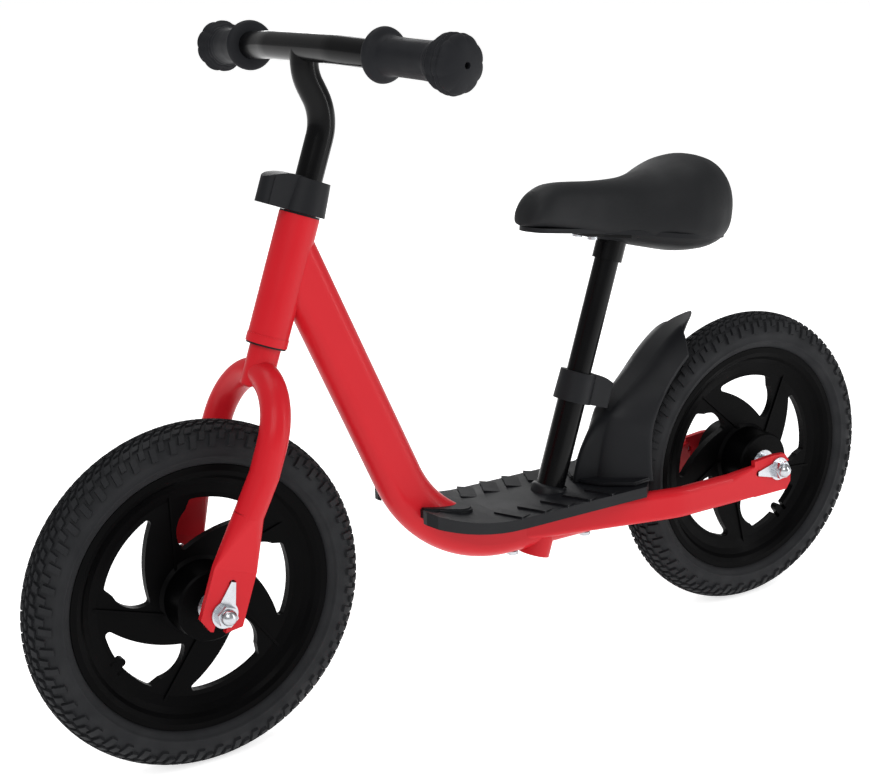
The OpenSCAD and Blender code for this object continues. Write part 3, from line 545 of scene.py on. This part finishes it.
def turned_copies_tree():
    """Copies of the piece turned about Y: Copies of them, the first at First Turn."""
    tree = bpy.data.node_groups.new("turned_copies", "GeometryNodeTree")
    for name, kind in (("Geometry", "NodeSocketGeometry"), ("Copies", "NodeSocketInt"),
                       ("First Turn", "NodeSocketFloat"), ("Finish", "NodeSocketMaterial")):
        tree.interface.new_socket(name, in_out="INPUT", socket_type=kind)
    tree.interface.new_socket("Geometry", in_out="OUTPUT", socket_type="NodeSocketGeometry")
    start = put(tree, "NodeGroupInput")
    line = put(tree, "GeometryNodeMeshLine", {}, {"Count": start.outputs["Copies"]})
    line.inputs["Offset"].default_value = (0, 0, 0)
    index = put(tree, "GeometryNodeInputIndex")
    share = put(tree, "ShaderNodeMath", {"operation": "DIVIDE"})
    tree.links.new(index.outputs["Index"], share.inputs[0])
    tree.links.new(start.outputs["Copies"], share.inputs[1])
    turn = put(tree, "ShaderNodeMath", {"operation": "MULTIPLY_ADD"})
    turn.inputs[1].default_value = math.tau
    tree.links.new(share.outputs[0], turn.inputs[0])
    tree.links.new(start.outputs["First Turn"], turn.inputs[2])
    euler = put(tree, "ShaderNodeCombineXYZ", {}, {"Y": turn.outputs[0]})
    rotation = put(tree, "FunctionNodeEulerToRotation", {}, {"Euler": euler.outputs["Vector"]})
    copies = put(tree, "GeometryNodeInstanceOnPoints", {}, {
        "Points": line.outputs["Mesh"], "Instance": start.outputs["Geometry"],
        "Rotation": rotation.outputs["Rotation"]})
    real = put(tree, "GeometryNodeRealizeInstances", {}, {"Geometry": copies.outputs["Instances"]})
    painted = put(tree, "GeometryNodeSetMaterial", {},
                  {"Geometry": real.outputs["Geometry"], "Material": start.outputs["Finish"]})
    end = put(tree, "NodeGroupOutput")
    tree.links.new(painted.outputs["Geometry"], end.inputs["Geometry"])
    return tree


turned_copies = turned_copies_tree()


def ring_of(mesh, copies, first_turn, finish):
    """Runs the tree on one mesh and returns the whole ring as a plain mesh."""
    holder = bpy.data.objects.new("ring", mesh)
    scene.collection.objects.link(holder)
    modifier = holder.modifiers.new("turned_copies", "NODES")
    modifier.node_group = turned_copies
    for socket in turned_copies.interface.items_tree:
        values = {"Copies": copies, "First Turn": first_turn, "Finish": finish}
        if socket.name in values:
            modifier[socket.identifier] = values[socket.name]
    shaped = holder.evaluated_get(bpy.context.evaluated_depsgraph_get())
    result = bpy.data.meshes.new_from_object(shaped)
    bpy.data.objects.remove(holder)
    return result


# Each row of blocks: start and stop in degrees from the crown, width and lean in metres, its
# place as a share of the pitch, and whether the two sides are staggered
tread_pattern = (
    (46, 76, 0.0062, 0.0018, 0.0, True),
    (40, 60, 0.0058, 0.0018, 0.5, True),
    (24, 41, 0.0066, 0.0026, 0.02, True),
    (22, 35, 0.0062, 0.0026, 0.52, True),
    (10, 19, 0.0058, 0.0030, 0.27, True),
    (10, 19, 0.0058, 0.0030, 0.77, True),
    (0.8, 8, 0.0060, 0.0030, 0.0, False),
    (0.8, 8, 0.0060, 0.0030, 0.5, False))
side_stagger = 0.25

tread_rows = []
pitch = math.tau / blocks_round
for side in (-1, 1):
    for start, stop, width, lean, place, staggered in tread_pattern:
        own = side_stagger if staggered and side < 0 else 0
        tread_rows.append((tread_block(start, stop, width, lean, side), own + place))
tread = [ring_of(block, blocks_round, shift * pitch, tyre_foam) for block, shift in tread_rows]

for wheel, axle in (("front", front_axle), ("rear", rear_axle)):
    parts = [tyre_body()]
    for row in tread:
        part = bmesh.new()
        part.from_mesh(row)
        parts.append(part)
    for part in parts:
        bmesh.ops.translate(part, verts=part.verts, vec=axle)
    new_piece(wheel + "_tyre_foam", parts, wheel + "_wheel", "foam_tyre", tyre_foam,
              wheel + "_tyre")


# ---- Saddle -----------------------------------------------------------------
# A self-skinned polyurethane pad, narrow in front and broad and raised behind, moulded in
# one without seams. Its skin has a fine pebbled grain with pebbles of 1.2 mm.

saddle_skin, tree, shader = new_finish(
    "polyurethane_skin", IOR=1.5, Specular_IOR_Level=0.2)
pebble_mm = 1.2
pebble_depth_mm = 0.06
where = put(tree, "ShaderNodeTexCoord")
pebbles = put(tree, "ShaderNodeTexVoronoi", {"Scale": 1000 / pebble_mm, "feature": "SMOOTH_F1"},
              {"Vector": where.outputs["Object"]})
bump = put(tree, "ShaderNodeBump",
           {"Strength": 1.0, "Distance": pebble_depth_mm / 1000, "invert": True},
           {"Height": pebbles.outputs["Distance"]})
tree.links.new(bump.outputs["Normal"], shader.inputs["Normal"])
vary_colour(tree, shader, where, 40, "#131416", "#191A1C")
vary_roughness(tree, shader, where, 30, 0.5, 0.64)

saddle_place = Vector((-0.1336, 0.0, 0.3838))
saddle_tilt = math.radians(7)
# Along the saddle from its back to its nose, in mm: the height of the top, the half width,
# and the height of the underside
saddle_top = [(-117, 22), (-116.2, 33), (-112.5, 46), (-106, 56), (-98, 63.5), (-88, 69),
              (-75, 71), (-60, 68.5), (-44, 62.5), (-24, 53.5), (-1, 47.5), (31, 44), (63, 42.5),
              (78, 40.5), (90, 34.5), (98, 25), (102.5, 14), (104, 5.5)]
saddle_half = [(-117, 0), (-116, 11), (-113, 21), (-107, 33), (-98, 44), (-86, 52.5), (-70, 57.5),
               (-55, 56), (-40, 50), (-25, 41), (-8, 31.5), (10, 26), (30, 23), (60, 21),
               (82, 20.5), (93, 18.5), (99, 14.5), (102.5, 9), (104, 0)]
saddle_under = [(-117, 21.5), (-116, 14), (-112, 6), (-104, -3), (-92, -10), (-75, -14.5),
                (-55, -16), (-30, -13.5), (0, -9.5), (40, -2.5), (75, 2), (98, 4.3), (104, 5)]


def rounded(value, power):
    """A power that keeps the sign: under 1 it squares a circle up."""
    return math.copysign(abs(value) ** power, value)


def saddle_shell(stations, round_steps):
    """Rings from the back to the nose, closer together near both ends."""
    pad = bmesh.new()
    rows = []
    middle_mm = (saddle_top[0][0] + saddle_top[-1][0]) / 2
    half_length = (saddle_top[-1][0] - saddle_top[0][0]) / 2
    for k in range(stations + 1):
        along = middle_mm - half_length * math.cos(math.pi * k / stations)
        top = ramp(saddle_top, along)
        half = ramp(saddle_half, along)
        under = ramp(saddle_under, along)
        middle = under + 0.42 * (top - under)
        row = []
        for i in range(round_steps):
            turn = math.tau * i / round_steps
            across = half * rounded(math.sin(turn), 0.86)
            rise = math.cos(turn)
            up = middle + ((top - middle) * rounded(rise, 0.92) if rise > 0
                           else (middle - under) * rounded(rise, 0.7))
            row.append(pad.verts.new((along / 1000, across / 1000, up / 1000)))
        rows.append(row)
    skin(pad, rows, closed=False)
    pad.faces.new(rows[0])
    pad.faces.new(rows[-1])
    bmesh.ops.remove_doubles(pad, verts=pad.verts, dist=2e-5)
    bmesh.ops.recalc_face_normals(pad, faces=pad.faces)
    bmesh.ops.transform(pad, matrix=Matrix.Translation(saddle_place)
                        @ Matrix.Rotation(-saddle_tilt, 4, "Y"), verts=pad.verts)
    smooth(pad, 75)
    return pad


saddle = new_piece("saddle_foam_pad", [saddle_shell(90, 72)], "seat", "saddle_foam", saddle_skin,
                   "saddle_pad")


# ---- Grips ------------------------------------------------------------------
# Soft PVC sleeves pushed on the bar ends: a ball flange inside, a waisted sleeve with faint
# flutes, and a big round safety knob outside with scalloped ridges and a vent hole.

grip_pvc = surface(
    "soft_pvc", (0.8, 0.02, 3.0), (25, "#17181B", "#1F2023"), (20, 0.52, 0.66),
    IOR=1.52, Specular_IOR_Level=0.12)

steering_foot = Vector(joint["steering_turn"]["pos_m"])
up_steering = Vector(joint["steering_turn"]["axis"]).normalized()
ahead = Vector((up_steering.z, 0, -up_steering.x))
bar_reach = 0.033056
bar_height = 0.230018
bar_middle = 0.052
bar_sweep = math.radians(8)
grip_start = 0.053
# The rest of the grip's sizes are in mm
grip_length = 96
vent_r = 2.5
bar_hole_r = 11.2
bar_hole_deep = 91
flutes = 8
flute_deep = 0.12
scallops = 9
scallop_deep = 1.1
ridge_pitch = 4
ridge_deep = 0.85
# Radius along the grip, from its inner face to its end
grip_outline = [(0, 13.5), (0.8, 17.5), (2.5, 19.6), (4.5, 20.4), (7, 19.8), (9.5, 17.6),
                (11.5, 15.4), (14, 14.4), (30, 13.9), (50, 13.9), (62, 14.4), (66, 15.6),
                (70, 17.6), (74, 19.6), (79, 21.2), (85, 21.4), (89.5, 19.4), (92.5, 16),
                (95, 9.5), (96, 3.2)]


def grip_radius(along, turn):
    radius = ramp(grip_outline, along)
    flute = flute_deep * math.cos(flutes * turn) if 16 < along < 62 else 0
    knob = max(0.0, min(1.0, (along - 65) / 4)) * max(0.0, min(1.0, (95 - along) / 5))
    lobes = scallop_deep * abs(math.cos(scallops * turn / 2)) ** 0.6
    ridges = ridge_deep * (math.cos(math.tau * (along - 72) / ridge_pitch) if along < 88 else 1)
    return radius + flute + knob * (lobes + ridges - 1.5)


def grip_shell(side):
    """One closed sleeve, its outside first and then the vent hole and the bar's hole."""
    run = Vector((0, side * math.cos(bar_sweep), 0)) - ahead * math.sin(bar_sweep)
    start = (steering_foot + ahead * bar_reach + up_steering * bar_height
             + Vector((0, side * bar_middle, 0)) + run * grip_start)
    across = up_steering.cross(run)
    sleeve = bmesh.new()
    length_steps = 130
    round_steps = 108
    outside = [(grip_length * k / length_steps, None) for k in range(length_steps + 1)]
    inside = [(grip_length, vent_r), (bar_hole_deep, vent_r), (bar_hole_deep, bar_hole_r),
              (0, bar_hole_r)]
    rows = []
    for along, fixed in outside + inside:
        row = []
        for i in range(round_steps):
            turn = math.tau * i / round_steps
            radius = (fixed or grip_radius(along, turn)) / 1000
            row.append(sleeve.verts.new(
                start + run * (along / 1000)
                + across * (radius * math.cos(turn)) + up_steering * (radius * math.sin(turn))))
        rows.append(row)
    skin(sleeve, rows)
    bmesh.ops.recalc_face_normals(sleeve, faces=sleeve.faces)
    smooth(sleeve, 50)
    return sleeve


for side, hand in ((1, "left"), (-1, "right")):
    new_piece(hand + "_grip_sleeve", [grip_shell(side)], "handlebar", "grip_rubber", grip_pvc,
              hand + "_grip")


# ---- Sweep ------------------------------------------------------------------
# Plain white background paper, matt and very slightly mottled, bright enough to wash out.

sweep, tree, shader = new_finish("paper_sweep", Base_Color=linear("#FAFAFA"), Roughness=0.9,
                                 Emission_Color=(1, 1, 1, 1), Emission_Strength=0.66)
add_grain(tree, shader, 4.0, 0.02)
floor_mesh.materials.append(sweep)
